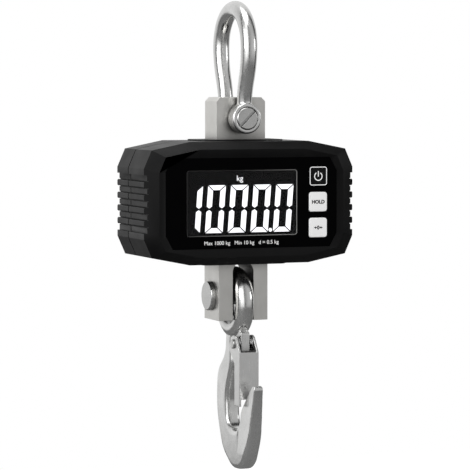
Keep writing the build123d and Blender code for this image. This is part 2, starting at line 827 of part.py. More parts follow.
def shell_inserts():
    end = seam_y - seam_gap / 2
    parts = []
    for x, z in shell_screw_places():
        sleeve = rod_y(x, z, insert_radius, end - insert_length, end)
        parts.append(sleeve - rod_y(x, z, screw_radius + slip, end - insert_length - 1, end + 1))
    return group(parts)


def block_screws():
    length = block_depth + 2 * insert_length - 1.0
    return group([screw_y(x, z, block_back, length, 1) for x, z in block_screw_places()])


def board_screw_set():
    length = board_thickness + insert_length - 0.5
    return group([screw_y(x, z, board_back, length, 1) for x, z in board_screws])


def cell_places():
    return [cell_pitch * (k - (cell_count - 1) / 2) for k in range(cell_count)]


def battery_tray():
    w, h = tray_half_width, tray_half_height
    tray = block_of(-w, w, tray_floor, tray_back, -h, h)
    inner = tray_half_width - tray_wall
    for z in cell_places():
        half = cell_pitch / 2 - 0.2
        tray -= block_of(-inner, inner, tray_floor + tray_wall, tray_back + 1, z - half, z + half)
    return tray


def battery_cells():
    """Three round cells, each with its button, turned end for end in the middle."""
    parts = []
    for k, z in enumerate(cell_places()):
        side = 1 if k % 2 else -1
        can = rod_x(cell_y, z, cell_radius, -cell_length / 2, cell_length / 2 - 1.0)
        button = rod_x(cell_y, z, 2.7, cell_length / 2 - 1.0, cell_length / 2)
        cell = can + button
        parts.append(cell if side > 0 else mirror(cell, about=Plane.YZ))
    return group(parts)


def battery_contacts():
    """A plate at each end of a cell, with a spring, drawn as its closed envelope, at the cell's base."""
    parts = []
    reach = tray_half_width - tray_wall
    for k, z in enumerate(cell_places()):
        button_side = 1 if k % 2 else -1
        for side in (-1, 1):
            x0, x1 = sorted((side * reach, side * (reach - 0.5)))
            plate = block_of(x0, x1, cell_y - 5, cell_y + 5, z - 5, z + 5)
            if side == button_side:
                low, high = sorted((side * (reach - 0.5), side * (cell_length / 2 + 0.05)))
                parts.append(plate + rod_x(cell_y, z, 2.0, low, high))
                continue
            cone_length = reach - 0.5 - cell_length / 2
            place = Pos(side * (cell_length + cone_length) / 2, cell_y, z) * Rot(0, 90 * side, 0)
            parts.append(plate + place * Cone(2.4, 4.4, cone_length))
    return group(parts)


def battery_door():
    door = pad_y(0, 0, door_width, door_height, door_corner, face_y - door_recess, face_y)
    door = fillet(door.faces().sort_by(Axis.Y)[-1].edges(), 0.5)
    plug_w = door_width - 2 * door_ledge - 2 * door_seal_width
    plug_h = door_height - door_ledge - 2 * door_seal_width
    door += pad_y(0, 0, plug_w, plug_h, 1.5, rear_wall_inner, face_y - door_recess)
    for x in (-door_screw_x, door_screw_x):
        door -= rod_y(x, 0, screw_radius + 0.15, face_y - door_recess - 1, face_y + 1)
    for k in range(5):
        z = -door_height / 2 + 6 + 2.4 * k
        door -= pad_y(0, z, 22, 1.2, 0.55, face_y - 0.6, face_y + 1)
    return door


def door_seal():
    edge = 0.1
    outer_w = door_width - 2 * door_ledge - 2 * edge
    outer_h = door_height - door_ledge - 2 * edge
    inner_w = door_width - 2 * door_ledge - 2 * door_seal_width
    inner_h = door_height - door_ledge - 2 * door_seal_width
    ring = pad_y(0, 0, outer_w, outer_h, door_corner / 2, rear_wall_inner, face_y - door_recess)
    return ring - pad_y(0, 0, inner_w, inner_h, 1.5, rear_wall_inner - 1, face_y)


def door_screws():
    return group([screw_y(x, 0, face_y, door_recess + rear_wall, 1) for x in (-door_screw_x, door_screw_x)])


def save(name, shape):
    """Writes one node, moved so that the origin is the seat in the shackle bow."""
    export_step(Pos(0, 0, -seat_z) * shape, os.path.join("parts", name + ".step"))


def main():
    os.makedirs("parts", exist_ok=True)
    body = housing_solid()
    nodes = {
        "shackle_bow": shackle_bow(),
        "shackle_pin": shackle_pin(),
        "shackle_washers": shackle_washers(),
        "load_cell_block": load_cell_block(),
        "gauge_covers": gauge_covers(),
        "strain_gauges": strain_gauges(),
        "load_cell_lead": load_cell_lead(),
        "block_screws": block_screws(),
        "hook_pin": hook_pin(),
        "hook_pin_screw": hook_pin_screw(),
        "front_shell": front_shell(body),
        "rear_shell": rear_shell(body),
        "shell_gasket": shell_gasket(),
        "shell_screws": shell_screws(),
        "shell_inserts": shell_inserts(),
        "top_seal": block_seal(1),
        "bottom_seal": block_seal(-1),
        "front_panel": front_panel(),
        "display_window": display_window(),
        "display_glass": display_glass(),
        "display_digits": display_digits(),
        "display_frame": display_frame(),
        "backlight_diffuser": backlight_diffuser(),
        "main_board": main_board(),
        "board_screws": board_screw_set(),
        "board_chips": board_chips(),
        "buzzer": buzzer(),
        "tactile_switches": tactile_switches(),
        "battery_tray": battery_tray(),
        "battery_cells": battery_cells(),
        "battery_contacts": battery_contacts(),
        "battery_door": battery_door(),
        "door_seal": door_seal(),
        "door_screws": door_screws(),
    }
    hook = {
        "hook_body": hook_body(),
        "latch_rivet": latch_rivet(),
        "hook_latch": hook_latch(),
        "latch_spring": latch_spring(),
    }
    for name, shape in hook.items():
        nodes[name] = Pos(0, 0, hook_pin_z) * shape
    for name, z in key_places().items():
        nodes[name] = key_cap(z)
    for name, shape in nodes.items():
        save(name, shape)


main()
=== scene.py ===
import bpy
import bmesh
import math
from mathutils import Matrix, Vector


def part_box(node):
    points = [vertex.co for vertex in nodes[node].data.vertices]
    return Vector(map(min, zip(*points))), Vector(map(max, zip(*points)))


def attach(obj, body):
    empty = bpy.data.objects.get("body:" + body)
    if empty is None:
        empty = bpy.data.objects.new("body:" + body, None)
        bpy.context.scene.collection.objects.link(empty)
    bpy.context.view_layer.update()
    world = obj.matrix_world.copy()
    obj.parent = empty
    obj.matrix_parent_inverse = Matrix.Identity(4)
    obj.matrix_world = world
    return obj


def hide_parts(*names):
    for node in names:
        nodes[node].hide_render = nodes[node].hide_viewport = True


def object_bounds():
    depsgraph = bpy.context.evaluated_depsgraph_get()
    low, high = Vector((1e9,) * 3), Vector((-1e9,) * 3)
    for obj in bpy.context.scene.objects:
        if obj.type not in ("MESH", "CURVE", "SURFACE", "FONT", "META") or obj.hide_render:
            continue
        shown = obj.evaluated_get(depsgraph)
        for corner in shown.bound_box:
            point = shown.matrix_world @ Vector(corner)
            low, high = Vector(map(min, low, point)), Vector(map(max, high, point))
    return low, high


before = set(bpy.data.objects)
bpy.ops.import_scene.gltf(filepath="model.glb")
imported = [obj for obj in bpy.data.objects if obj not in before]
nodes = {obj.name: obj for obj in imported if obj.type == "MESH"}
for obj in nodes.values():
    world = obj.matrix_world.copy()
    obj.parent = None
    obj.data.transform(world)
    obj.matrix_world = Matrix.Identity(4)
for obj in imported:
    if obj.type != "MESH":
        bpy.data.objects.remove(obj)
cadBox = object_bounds()
mm = 0.001
weldReach = 2e-6  # points closer than this are one point
flatAngle = 0.05  # degrees, under which neighbouring triangles are one face


def middle(*names):
    # centre of the box round these CAD nodes
    boxes = [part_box(name) for name in names]
    low = Vector([min(b[0][k] for b in boxes) for k in range(3)])
    high = Vector([max(b[1][k] for b in boxes) for k in range(3)])
    return (low + high) / 2


def addObject(name, mesh):
    thing = bpy.data.objects.new(name, mesh)
    bpy.context.scene.collection.objects.link(thing)
    return thing


def finishPiece(thing, body, material, replaced=()):
    thing.data.materials.clear()
    thing.data.materials.append(material)
    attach(thing, body)
    if replaced:
        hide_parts(*replaced)
    return thing


def bakeModifiers(thing):
    # the evaluated shape becomes the mesh, and the modifiers go
    bpy.context.view_layer.update()
    shape = bpy.data.meshes.new_from_object(thing.evaluated_get(bpy.context.evaluated_depsgraph_get()))
    thing.modifiers.clear()
    thing.data = shape
    return thing


def turnOutwards(work):
    # every face looks out of its own solid
    bmesh.ops.recalc_face_normals(work, faces=work.faces)


def smoothShade(mesh, sharpAngle):
    mesh.shade_smooth()
    mesh.set_sharp_from_angle(angle=math.radians(sharpAngle))


def joinedCopy(node):
    # a CAD node's triangles, merged and with flat areas made whole
    work = bmesh.new()
    work.from_mesh(nodes[node].data)
    bmesh.ops.remove_doubles(work, verts=work.verts, dist=weldReach)
    bmesh.ops.dissolve_limit(work, angle_limit=math.radians(flatAngle), verts=work.verts, edges=work.edges)
    mesh = bpy.data.meshes.new(node + "Joined")
    work.to_mesh(mesh)
    work.free()
    return mesh


def roundedCopy(node, name, radius, steps=3, cornerAngle=28):
    # a CAD node with its hard edges broken
    thing = addObject(name, joinedCopy(node))
    smoothShade(thing.data, cornerAngle)
    bevel = thing.modifiers.new("edges", "BEVEL")
    bevel.width = radius
    bevel.segments = steps
    bevel.limit_method = "ANGLE"
    bevel.angle_limit = math.radians(cornerAngle)
    bevel.harden_normals = True
    bevel.use_clamp_overlap = True
    bevel.miter_outer = "MITER_ARC"
    return bakeModifiers(thing)


def forgedCopy(node, name, voxel, rounds):
    # a CAD node as one skin with its inside corners run out, as a forging is
    thing = addObject(name, joinedCopy(node))
    remesh = thing.modifiers.new("skin", "REMESH")
    remesh.mode = "VOXEL"
    remesh.voxel_size = voxel
    smooth = thing.modifiers.new("flow", "SMOOTH")
    smooth.factor = 0.5
    smooth.iterations = rounds
    bakeModifiers(thing)
    thing.data.shade_smooth()
    return thing


def newMaterial(name, **values):
    # values go to the shader's own sockets
    material = bpy.data.materials.new(name)
    material.use_nodes = True
    shader = material.node_tree.nodes["Principled BSDF"]
    for socket, value in values.items():
        shader.inputs[socket].default_value = value
    return material, material.node_tree, shader


def objectPoints(tree, scale=(1, 1, 1)):
    place = tree.nodes.new("ShaderNodeTexCoord")
    mapping = tree.nodes.new("ShaderNodeMapping")
    mapping.inputs["Scale"].default_value = scale
    tree.links.new(place.outputs["Object"], mapping.inputs["Vector"])
    return mapping.outputs["Vector"]


def addNoise(tree, points, scale, detail=3.0, rough=0.5):
    noise = tree.nodes.new("ShaderNodeTexNoise")
    noise.inputs["Scale"].default_value = scale
    noise.inputs["Detail"].default_value = detail
    noise.inputs["Roughness"].default_value = rough
    tree.links.new(points, noise.inputs["Vector"])
    return noise.outputs["Fac"]


def addRange(tree, value, low, high, fromLow=0.3, fromHigh=0.7):
    spread = tree.nodes.new("ShaderNodeMapRange")
    for socket, number in (("From Min", fromLow), ("From Max", fromHigh), ("To Min", low), ("To Max", high)):
        spread.inputs[socket].default_value = number
    tree.links.new(value, spread.inputs["Value"])
    return spread.outputs["Result"]


def addColours(tree, value, low, high):
    mix = tree.nodes.new("ShaderNodeMix")
    mix.data_type = "RGBA"
    mix.inputs["A"].default_value = (*low, 1)
    mix.inputs["B"].default_value = (*high, 1)
    tree.links.new(value, mix.inputs["Factor"])
    return mix.outputs["Result"]


def addBump(tree, shader, heights):
    # heights: (value, strength, distance in metres), one on top of the other
    last = None
    for value, strength, distance in heights:
        bump = tree.nodes.new("ShaderNodeBump")
        bump.inputs["Strength"].default_value = strength
        bump.inputs["Distance"].default_value = distance
        tree.links.new(value, bump.inputs["Height"])
        if last:
            tree.links.new(last, bump.inputs["Normal"])
        last = bump.outputs["Normal"]
    tree.links.new(last, shader.inputs["Normal"])


# the painted shade in narrow gaps: how far it reaches in mm and how dark it gets
paintedShadeValues = {"reach": 12.0, "darkest": 0.06, "closed": 0.05, "open": 0.75}


def addPaintedShade(tree, colour, v):
    # painted shade: the colour is darkened towards the bottom of narrow gaps, where little light gets in
    hollowShade = tree.nodes.new("ShaderNodeAmbientOcclusion")
    hollowShade.samples = 8
    hollowShade.inputs["Distance"].default_value = v["reach"] * mm
    shade = addRange(tree, hollowShade.outputs["AO"], v["darkest"], 1, v["closed"], v["open"])
    mix = tree.nodes.new("ShaderNodeMix")
    mix.data_type = "RGBA"
    mix.inputs["A"].default_value = (0, 0, 0, 1)
    tree.links.new(colour, mix.inputs["B"])
    tree.links.new(shade, mix.inputs["Factor"])
    return mix.outputs["Result"]


metalValues = {"grainStrength": 0.35, "grainDepth": 0.00002, "waveDepth": 0.0004}


def metalMaterial(name, light, dark, rough, grain, grainScale, waves=0.0, waveScale=70.0):
    # bare metal: grain is a stretched noise for the grinding marks, waves a slow unevenness
    material, tree, shader = newMaterial(name, Metallic=1.0)
    marks = addNoise(tree, objectPoints(tree, grain), grainScale, 4.0, 0.6)
    patches = addNoise(tree, objectPoints(tree), waveScale, 2.0)
    colour = addColours(tree, addRange(tree, patches, 0, 1), dark, light)
    # painted shade darkens the colour in narrow gaps
    tree.links.new(addPaintedShade(tree, colour, paintedShadeValues), shader.inputs["Base Color"])
    tree.links.new(addRange(tree, marks, rough[0], rough[1]), shader.inputs["Roughness"])
    heights = [(marks, metalValues["grainStrength"], metalValues["grainDepth"])]
    if waves:
        heights.append((patches, waves, metalValues["waveDepth"]))
    addBump(tree, shader, heights)
    return material


def plasticMaterial(name, colour, lighter, rough, grainScale=1800.0, grain=0.12, mottle=90.0, specular=0.5):
    # moulded plastic with a fine grain and faint unevenness of shine
    material, tree, shader = newMaterial(name)
    shader.inputs["Specular IOR Level"].default_value = specular
    fine = addNoise(tree, objectPoints(tree), grainScale, 2.0)
    slow = addNoise(tree, objectPoints(tree), mottle, 3.0)
    tree.links.new(addColours(tree, addRange(tree, slow, 0, 1), colour, lighter), shader.inputs["Base Color"])
    tree.links.new(addRange(tree, slow, rough[0], rough[1]), shader.inputs["Roughness"])
    addBump(tree, shader, [(fine, grain, 0.0001)])
    return material


def lensMaterial(name):
    # clear tinted acrylic, with faint unevenness of polish; the low index stands for its anti-glare coat
    material, tree, shader = newMaterial(name, IOR=1.2)
    shader.inputs["Transmission Weight"].default_value = 1.0
    shader.inputs["Specular IOR Level"].default_value = 0.12
    slow = addNoise(tree, objectPoints(tree), 60.0)
    tint = addColours(tree, slow, (0.80, 0.80, 0.82), (0.84, 0.84, 0.86))
    tree.links.new(tint, shader.inputs["Base Color"])
    tree.links.new(addRange(tree, slow, 0.0, 0.01), shader.inputs["Roughness"])
    return material


def glowMaterial(name, colour, strength):
    # a colour that gives out light of its own; on the backlit display that is real, elsewhere it is a painted
    # glow
    material, tree, shader = newMaterial(name, Roughness=0.4)
    shader.inputs["Emission Strength"].default_value = strength
    cloud = addNoise(tree, objectPoints(tree), 40.0)
    tint = [c * 0.97 for c in colour]
    mixed = addColours(tree, addRange(tree, cloud, 0, 1), tint, colour)
    tree.links.new(mixed, shader.inputs["Base Color"])
    tree.links.new(mixed, shader.inputs["Emission Color"])
    return material


def edgeHighlightMaterial(name, dark, light, reach):
    # a cut edge with a painted highlight: its colour grows lighter towards the lower right of the object
    material, tree, shader = newMaterial(name, Roughness=0.3)
    split = tree.nodes.new("ShaderNodeSeparateXYZ")
    tree.links.new(objectPoints(tree), split.inputs["Vector"])
    fall = tree.nodes.new("ShaderNodeMath")
    fall.operation = "SUBTRACT"
    tree.links.new(split.outputs["X"], fall.inputs[0])
    tree.links.new(split.outputs["Z"], fall.inputs[1])
    lit = addRange(tree, fall.outputs["Value"], 0, 1, *reach)
    tree.links.new(addColours(tree, lit, dark, light), shader.inputs["Base Color"])
    return material


finishes = {
    "forgedSteel": metalMaterial(
        "forgedSteel", (0.95, 0.95, 0.94), (0.82, 0.82, 0.81), (0.19, 0.29), (1, 1, 0.25), 900, 0.3, 75),
    "groundSteel": metalMaterial(
        "groundSteel", (0.88, 0.87, 0.84), (0.80, 0.79, 0.76), (0.33, 0.43), (12, 12, 0.6), 260),
    "turnedSteel": metalMaterial(
        "turnedSteel", (0.72, 0.72, 0.71), (0.64, 0.64, 0.63), (0.2, 0.3), (4, 4, 4), 500),
    "pressedSteel": metalMaterial(
        "pressedSteel", (0.94, 0.94, 0.93), (0.86, 0.86, 0.85), (0.26, 0.36), (6, 6, 0.5), 300),
    "springSteel": metalMaterial(
        "springSteel", (0.6, 0.6, 0.6), (0.45, 0.45, 0.45), (0.15, 0.25), (5, 5, 5), 600),
    "screwSteel": metalMaterial(
        "screwSteel", (0.32, 0.32, 0.33), (0.24, 0.24, 0.25), (0.3, 0.42), (3, 3, 3), 700),
    "brass": metalMaterial("brass", (0.78, 0.58, 0.28), (0.68, 0.48, 0.22), (0.25, 0.38), (3, 3, 3), 700),
    "nickel": metalMaterial("nickel", (0.72, 0.70, 0.64), (0.64, 0.62, 0.56), (0.2, 0.3), (3, 3, 3), 700),
    "aluminium": metalMaterial(
        "aluminium", (0.74, 0.74, 0.75), (0.66, 0.66, 0.67), (0.3, 0.4), (3, 3, 3), 700),
    "shellPlastic": plasticMaterial(
        "shellPlastic", (0.0042, 0.0042, 0.0044), (0.0058, 0.0058, 0.0060), (0.34, 0.42), specular=0.17),
    "sealRubber": plasticMaterial(
        "sealRubber", (0.008, 0.008, 0.008), (0.013, 0.013, 0.013), (0.5, 0.6), 1200),
    # black rubber, darkened past the other seals: painted shade for the seam groove it sits in
    "gasketRubberAndShade": plasticMaterial(
        "gasketRubberAndShade", (0.002, 0.002, 0.002), (0.003, 0.003, 0.003), (0.7, 0.8), 1200, specular=0.05),
    "panelGloss": plasticMaterial(
        "panelGloss", (0.0010, 0.0010, 0.0012), (0.0013, 0.0013, 0.0015), (0.12, 0.16), 600, 0.0,
        specular=0.02),
    "lensTint": lensMaterial("lensTint"),
    # painted highlight on the lens edge, lighter towards the lower right
    "lensEdgeHighlight": edgeHighlightMaterial("lensEdgeHighlight", (0.01, 0.01, 0.01), (0.34, 0.34, 0.33), (0.088, 0.135)),
    "displayDark": plasticMaterial(
        "displayDark", (0.004, 0.004, 0.0045), (0.005, 0.005, 0.0055), (0.35, 0.4), 600, 0.0, specular=0.05),
    "digitGlow": glowMaterial("digitGlow", (1.0, 1.0, 1.0), 1.3),
    "signGlow": glowMaterial("signGlow", (1.0, 1.0, 1.0), 1.2),
    # white print with a painted glow: it gives out light of its own though it is no lamp
    "printWhiteAndGlow": glowMaterial("printWhiteAndGlow", (0.9, 0.9, 0.9), 0.4),
    "printDark": plasticMaterial(
        "printDark", (0.006, 0.006, 0.006), (0.009, 0.009, 0.009), (0.5, 0.6), specular=0.1),
    # white key plastic with a painted glow: it gives out light of its own though it is no lamp
    "keyWhiteAndGlow": glowMaterial("keyWhiteAndGlow", (0.84, 0.84, 0.84), 0.38),
    "keyBlack": plasticMaterial(
        "keyBlack", (0.004, 0.004, 0.004), (0.006, 0.006, 0.006), (0.4, 0.5), 1500, 0.06, specular=0.15),
    "framePlastic": plasticMaterial("framePlastic", (0.03, 0.03, 0.03), (0.04, 0.04, 0.04), (0.5, 0.6)),
    "milkyPlastic": plasticMaterial("milkyPlastic", (0.8, 0.8, 0.8), (0.86, 0.86, 0.86), (0.3, 0.4)),
    "boardGreen": plasticMaterial("boardGreen", (0.015, 0.09, 0.035), (0.02, 0.13, 0.05), (0.3, 0.4)),
    "chipBlack": plasticMaterial("chipBlack", (0.02, 0.02, 0.02), (0.03, 0.03, 0.03), (0.4, 0.55)),
    "gaugeFoil": plasticMaterial("gaugeFoil", (0.5, 0.33, 0.08), (0.6, 0.42, 0.12), (0.3, 0.45)),
    "leadSheath": plasticMaterial("leadSheath", (0.10, 0.10, 0.10), (0.13, 0.13, 0.13), (0.5, 0.6)),
    "cellWrap": plasticMaterial("cellWrap", (0.05, 0.06, 0.16), (0.07, 0.08, 0.20), (0.25, 0.35)),
}
print("materials made", len(finishes))

# which finish each CAD node has when it shows as it is
nodeFinish = {
    "forgedSteel": ("shackle_bow", "hook_body"),
    "groundSteel": ("load_cell_block",),
    "turnedSteel": ("shackle_pin", "shackle_washers", "hook_pin", "latch_rivet"),
    "pressedSteel": ("hook_latch",),
    "springSteel": ("latch_spring",),
    "screwSteel": ("hook_pin_screw", "block_screws", "shell_screws", "board_screws", "door_screws"),
    "brass": ("shell_inserts",),
    "shellPlastic": ("front_shell", "rear_shell", "battery_door"),
    "gasketRubberAndShade": ("shell_gasket",),
    "sealRubber": ("top_seal", "bottom_seal", "door_seal"),
    "panelGloss": ("front_panel",),
    "lensTint": ("display_window",),
    "displayDark": ("display_glass",),
    "digitGlow": ("display_digits",),
    "framePlastic": ("display_frame", "battery_tray", "tactile_switches"),
    "milkyPlastic": ("backlight_diffuser",),
    "boardGreen": ("main_board",),
    "chipBlack": ("board_chips", "buzzer"),
    "keyBlack": ("power_key",),
    "keyWhiteAndGlow": ("hold_key", "zero_key"),
    "gaugeFoil": ("strain_gauges",),
    "aluminium": ("gauge_covers",),
    "leadSheath": ("load_cell_lead",),
    "cellWrap": ("battery_cells",),
    "nickel": ("battery_contacts",),
}
for finish, names in nodeFinish.items():
    for name in names:
        nodes[name].data.materials.clear()
        nodes[name].data.materials.append(finishes[finish])

housingMiddle = middle("front_shell", "rear_shell")
cameraValues = {
    "distance": 1.683,  # lens to the middle of the housing
    "turn": 21.5,  # degrees round to the viewer's left
    "rise": 2.69,  # degrees above the housing
    "aimDown": 0.734,  # degrees that the middle of the view lies under the housing's
    "lens": 203.8,
}


def makeCamera(v):
    turn, rise = math.radians(v["turn"]), math.radians(v["rise"])
    away = Vector((-math.sin(turn) * math.cos(rise), -math.cos(turn) * math.cos(rise), math.sin(rise)))
    data = bpy.data.cameras.new("camera")
    data.lens = v["lens"]
    camera = addObject("camera", data)
    camera.location = housingMiddle + away * v["distance"]
    tilt = math.radians(90 - v["rise"] - v["aimDown"])
    camera.rotation_euler = (tilt, 0, -turn)
    bpy.context.scene.camera = camera


# soft lamps: place in metres from the middle of the housing, side in metres, power in watts
lightValues = {
    "left": {"at": (-1.0, -0.35, 0.35), "size": 0.5, "power": 3.5},
    "top": {"at": (-0.1, -0.1, 0.9), "size": 0.6, "power": 3},
    "right": {"at": (0.9, -0.4, 0.2), "size": 0.25, "power": 0.6},
}


def makeLights(lights):
    for name, v in lights.items():
        data = bpy.data.lights.new(name, "AREA")
        data.shape = "SQUARE"
        data.size = v["size"]
        data.energy = v["power"]
        lamp = addObject(name, data)
        lamp.location = housingMiddle + Vector(v["at"])
        lamp.rotation_euler = (housingMiddle - lamp.location).to_track_quat("-Z", "Y").to_euler()


# how bright the room is round about: degrees from the back, clockwise seen from above
roomValues = [
    (-180, 0.42), (-168, 0.40), (-164, 0.06), (-156, 0.06), (-150, 1.5), (-118, 1.5), (-108, 0.6),
    (-84, 0.55), (-80, 0.06), (-70, 0.06), (-64, 0.68), (-30, 0.86), (0, 0.96), (40, 0.90),
    (76, 0.68), (80, 0.03), (104, 0.03), (112, 0.5), (140, 0.62), (165, 0.55), (180, 0.40),
]
# and how that changes from straight down, -1, to straight up, 1
heightValues = [(-1.0, 0.45), (-0.45, 0.6), (-0.12, 1.0), (0.5, 1.0), (1.0, 0.8)]


def addRamp(tree, value, stops, low, high):
    # a straight-line graph of grey levels through the stops
    ramp = tree.nodes.new("ShaderNodeFloatCurve")
    curve = ramp.mapping.curves[0]
    peak = max(level for place, level in stops)
    points = [((place - low) / (high - low), level / peak) for place, level in stops]
    while len(curve.points) < len(points):
        curve.points.new(0.5, 0.5)
    for point, place in zip(curve.points, points):
        point.location = place
        point.handle_type = "VECTOR"
    ramp.mapping.update()
    tree.links.new(addRange(tree, value, 0, 1, low, high), ramp.inputs["Value"])
    scaled = tree.nodes.new("ShaderNodeMath")
    scaled.operation = "MULTIPLY"
    scaled.inputs[1].default_value = peak
    tree.links.new(ramp.outputs["Value"], scaled.inputs[0])
    return scaled.outputs["Value"]


def makeWorld():
    # white all round behind the object; a room of soft panels and dark gaps lights it
    world = bpy.data.worlds.new("room")
    bpy.context.scene.world = world
    world.use_nodes = True
    tree = world.node_tree
    tree.nodes.clear()
    seen = tree.nodes.new("ShaderNodeBackground")
    seen.inputs["Color"].default_value = (1, 1, 1, 1)
    seen.inputs["Strength"].default_value = 1.0
    room = tree.nodes.new("ShaderNodeBackground")
    place = tree.nodes.new("ShaderNodeTexCoord")
    split = tree.nodes.new("ShaderNodeSeparateXYZ")
    bearing = tree.nodes.new("ShaderNodeMath")
    bearing.operation = "ARCTAN2"
    level = tree.nodes.new("ShaderNodeMath")
    level.operation = "MULTIPLY"
    path = tree.nodes.new("ShaderNodeLightPath")
    mix = tree.nodes.new("ShaderNodeMixShader")
    out = tree.nodes.new("ShaderNodeOutputWorld")
    links = tree.links
    links.new(place.outputs["Generated"], split.inputs["Vector"])
    links.new(split.outputs["X"], bearing.inputs[0])
    links.new(split.outputs["Y"], bearing.inputs[1])
    roomStops = [(math.radians(turn), grey) for turn, grey in roomValues]
    links.new(addRamp(tree, bearing.outputs["Value"], roomStops, -math.pi, math.pi), level.inputs[0])
    links.new(addRamp(tree, split.outputs["Z"], heightValues, -1, 1), level.inputs[1])
    links.new(level.outputs["Value"], room.inputs["Strength"])
    links.new(path.outputs["Is Camera Ray"], mix.inputs["Fac"])
    links.new(room.outputs["Background"], mix.inputs[1])
    links.new(seen.outputs["Background"], mix.inputs[2])
    links.new(mix.outputs["Shader"], out.inputs["Surface"])


floorValues = {"half": 1.6, "below": 0.25}  # metres: half its side, and how far the hook hangs above it


def makeFloor(v):
    # a wide pale floor under the hanging object
    work = bmesh.new()
    bmesh.ops.create_grid(work, x_segments=8, y_segments=8, size=v["half"])
    mesh = bpy.data.meshes.new("floor")
    work.to_mesh(mesh)
    work.free()
    floor = addObject("floor", mesh)
    mesh.transform(Matrix.Translation((0, 0, cadBox[0][2] - v["below"])))
    material, tree, shader = newMaterial("paleFloor", Roughness=0.9)
    cloud = addNoise(tree, objectPoints(tree), 3.0)
    colour = addColours(tree, cloud, (0.97, 0.97, 0.97), (1, 1, 1))
    dim = addColours(tree, cloud, (0.20, 0.20, 0.20), (0.24, 0.24, 0.24))
    path = tree.nodes.new("ShaderNodeLightPath")
    tree.links.new(dim, shader.inputs["Base Color"])
    tree.links.new(colour, shader.inputs["Emission Color"])
    tree.links.new(path.outputs["Is Camera Ray"], shader.inputs["Emission Strength"])
    mesh.materials.append(material)


makeCamera(cameraValues)
makeLights(lightValues)
makeWorld()
makeFloor(floorValues)
bpy.context.scene.view_settings.view_transform = "Standard"
print("camera, lights, world and floor made")


forgedValues = [
    # CAD node, piece, body, slot, finish, voxel in mm, smoothing rounds
    ("shackle_bow", "shackleBow", "shackle", "forged_steel", "forgedSteel", 0.42, 3),
    ("hook_body", "hookForging", "hook", "forged_steel", "forgedSteel", 0.42, 8),
    ("hook_latch", "hookLatch", "latch", "latch_sheet", "pressedSteel", 0.24, 4),
]
for node, name, body, slotName, finish, voxel, rounds in forgedValues:
    piece = forgedCopy(node, name, voxel * mm, rounds)
    finishPiece(piece, body, finishes[finish], [node])
    print("forged", name, len(piece.data.polygons))

roundedValues = [
    # CAD node, piece, body, slot, finish, edge radius in mm
    ("load_cell_block", "loadCellBlock", "housing", "satin_steel", "groundSteel", 0.35),
    ("shackle_pin", "shacklePin", "shackle", "pin_steel", "turnedSteel", 0.2),
    ("shackle_washers", "shackleWashers", "shackle", "pin_steel", "turnedSteel", 0.15),
    ("hook_pin", "hookPin", "housing", "pin_steel", "turnedSteel", 0.25),
    ("latch_rivet", "latchRivet", "hook", "pin_steel", "turnedSteel", 0.15),
    ("front_shell", "frontShell", "housing", "shell_plastic", "shellPlastic", 0.2),
    ("rear_shell", "rearShell", "housing", "shell_plastic", "shellPlastic", 0.2),
    ("battery_door", "batteryDoor", "battery_cover", "shell_plastic", "shellPlastic", 0.2),
    ("top_seal", "topSeal", "housing", "seal_rubber", "sealRubber", 0.3),
    ("bottom_seal", "bottomSeal", "housing", "seal_rubber", "sealRubber", 0.3),
    ("power_key", "powerKey", "power_button", "key_black", "keyBlack", 0.2),
    ("hold_key", "holdKey", "hold_button", "key_white", "keyWhiteAndGlow", 0.2),
    ("zero_key", "zeroKey", "zero_button", "key_white", "keyWhiteAndGlow", 0.2),
]
for node, name, body, slotName, finish, radius in roundedValues:
    piece = roundedCopy(node, name, radius * mm)
    finishPiece(piece, body, finishes[finish], [node])
    print("rounded", name, len(piece.data.polygons))


def newGroup(name, numbers):
    # an empty geometry tree with named inputs, and the way from an input's name to its identifier
    group = bpy.data.node_groups.new(name, "GeometryNodeTree")
    group.interface.new_socket("Geometry", in_out="INPUT", socket_type="NodeSocketGeometry")
    keys = {}
    for label in numbers:
        socket = group.interface.new_socket(label, in_out="INPUT", socket_type="NodeSocketFloat")
        keys[label] = socket.identifier
    keys["Material"] = group.interface.new_socket(
        "Material", in_out="INPUT", socket_type="NodeSocketMaterial").identifier
    group.interface.new_socket("Geometry", in_out="OUTPUT", socket_type="NodeSocketGeometry")
    return group, keys, group.nodes.new("NodeGroupInput"), group.nodes.new("NodeGroupOutput")


def addNode(group, kind, links=None, **settings):
    # a node with its settings and values; links maps its sockets to what feeds them
    made = group.nodes.new(kind)
    for label, value in settings.items():
        if hasattr(made, label):
            setattr(made, label, value)
        else:
            made.inputs[label.replace("_", " ")].default_value = value
    for socket, source in (links or {}).items():
        group.links.new(source, made.inputs[socket])
    return made


def sumOf(group, one, other, operation="ADD"):
    made = group.nodes.new("ShaderNodeMath")
    made.operation = operation
    for k, value in enumerate((one, other)):
        if isinstance(value, (int, float)):
            made.inputs[k].default_value = value
        else:
            group.links.new(value, made.inputs[k])
    return made.outputs["Value"]


def along(group, value):
    # a vector that is this value along Z
    return addNode(group, "ShaderNodeCombineXYZ", {"Z": value}).outputs["Vector"]


def closeGroup(group, geometry, source, out):
    real = addNode(group, "GeometryNodeRealizeInstances", {"Geometry": geometry})
    done = addNode(
        group, "GeometryNodeSetMaterial",
        {"Geometry": real.outputs["Geometry"], "Material": source.outputs["Material"]})
    group.links.new(done.outputs["Geometry"], out.inputs["Geometry"])


def runGroup(thing, group, keys, values):
    # values go in by socket identifier, then the result is kept as a plain mesh
    maker = thing.modifiers.new("maker", "NODES")
    maker.node_group = group
    for label, value in values.items():
        maker[keys[label]] = value
    return bakeModifiers(thing)


def pointsObject(name, places):
    mesh = bpy.data.meshes.new(name)
    mesh.from_pydata([tuple(place) for place in places], [], [])
    return addObject(name, mesh)


overrun = 0.5 * mm  # how far one solid of a screw runs into or past the next


def roundBar(group, bottom, top, depth, sides):
    return addNode(group, "GeometryNodeMeshCone", {
        "Radius Top": top, "Radius Bottom": bottom, "Depth": depth}, Vertices=sides)


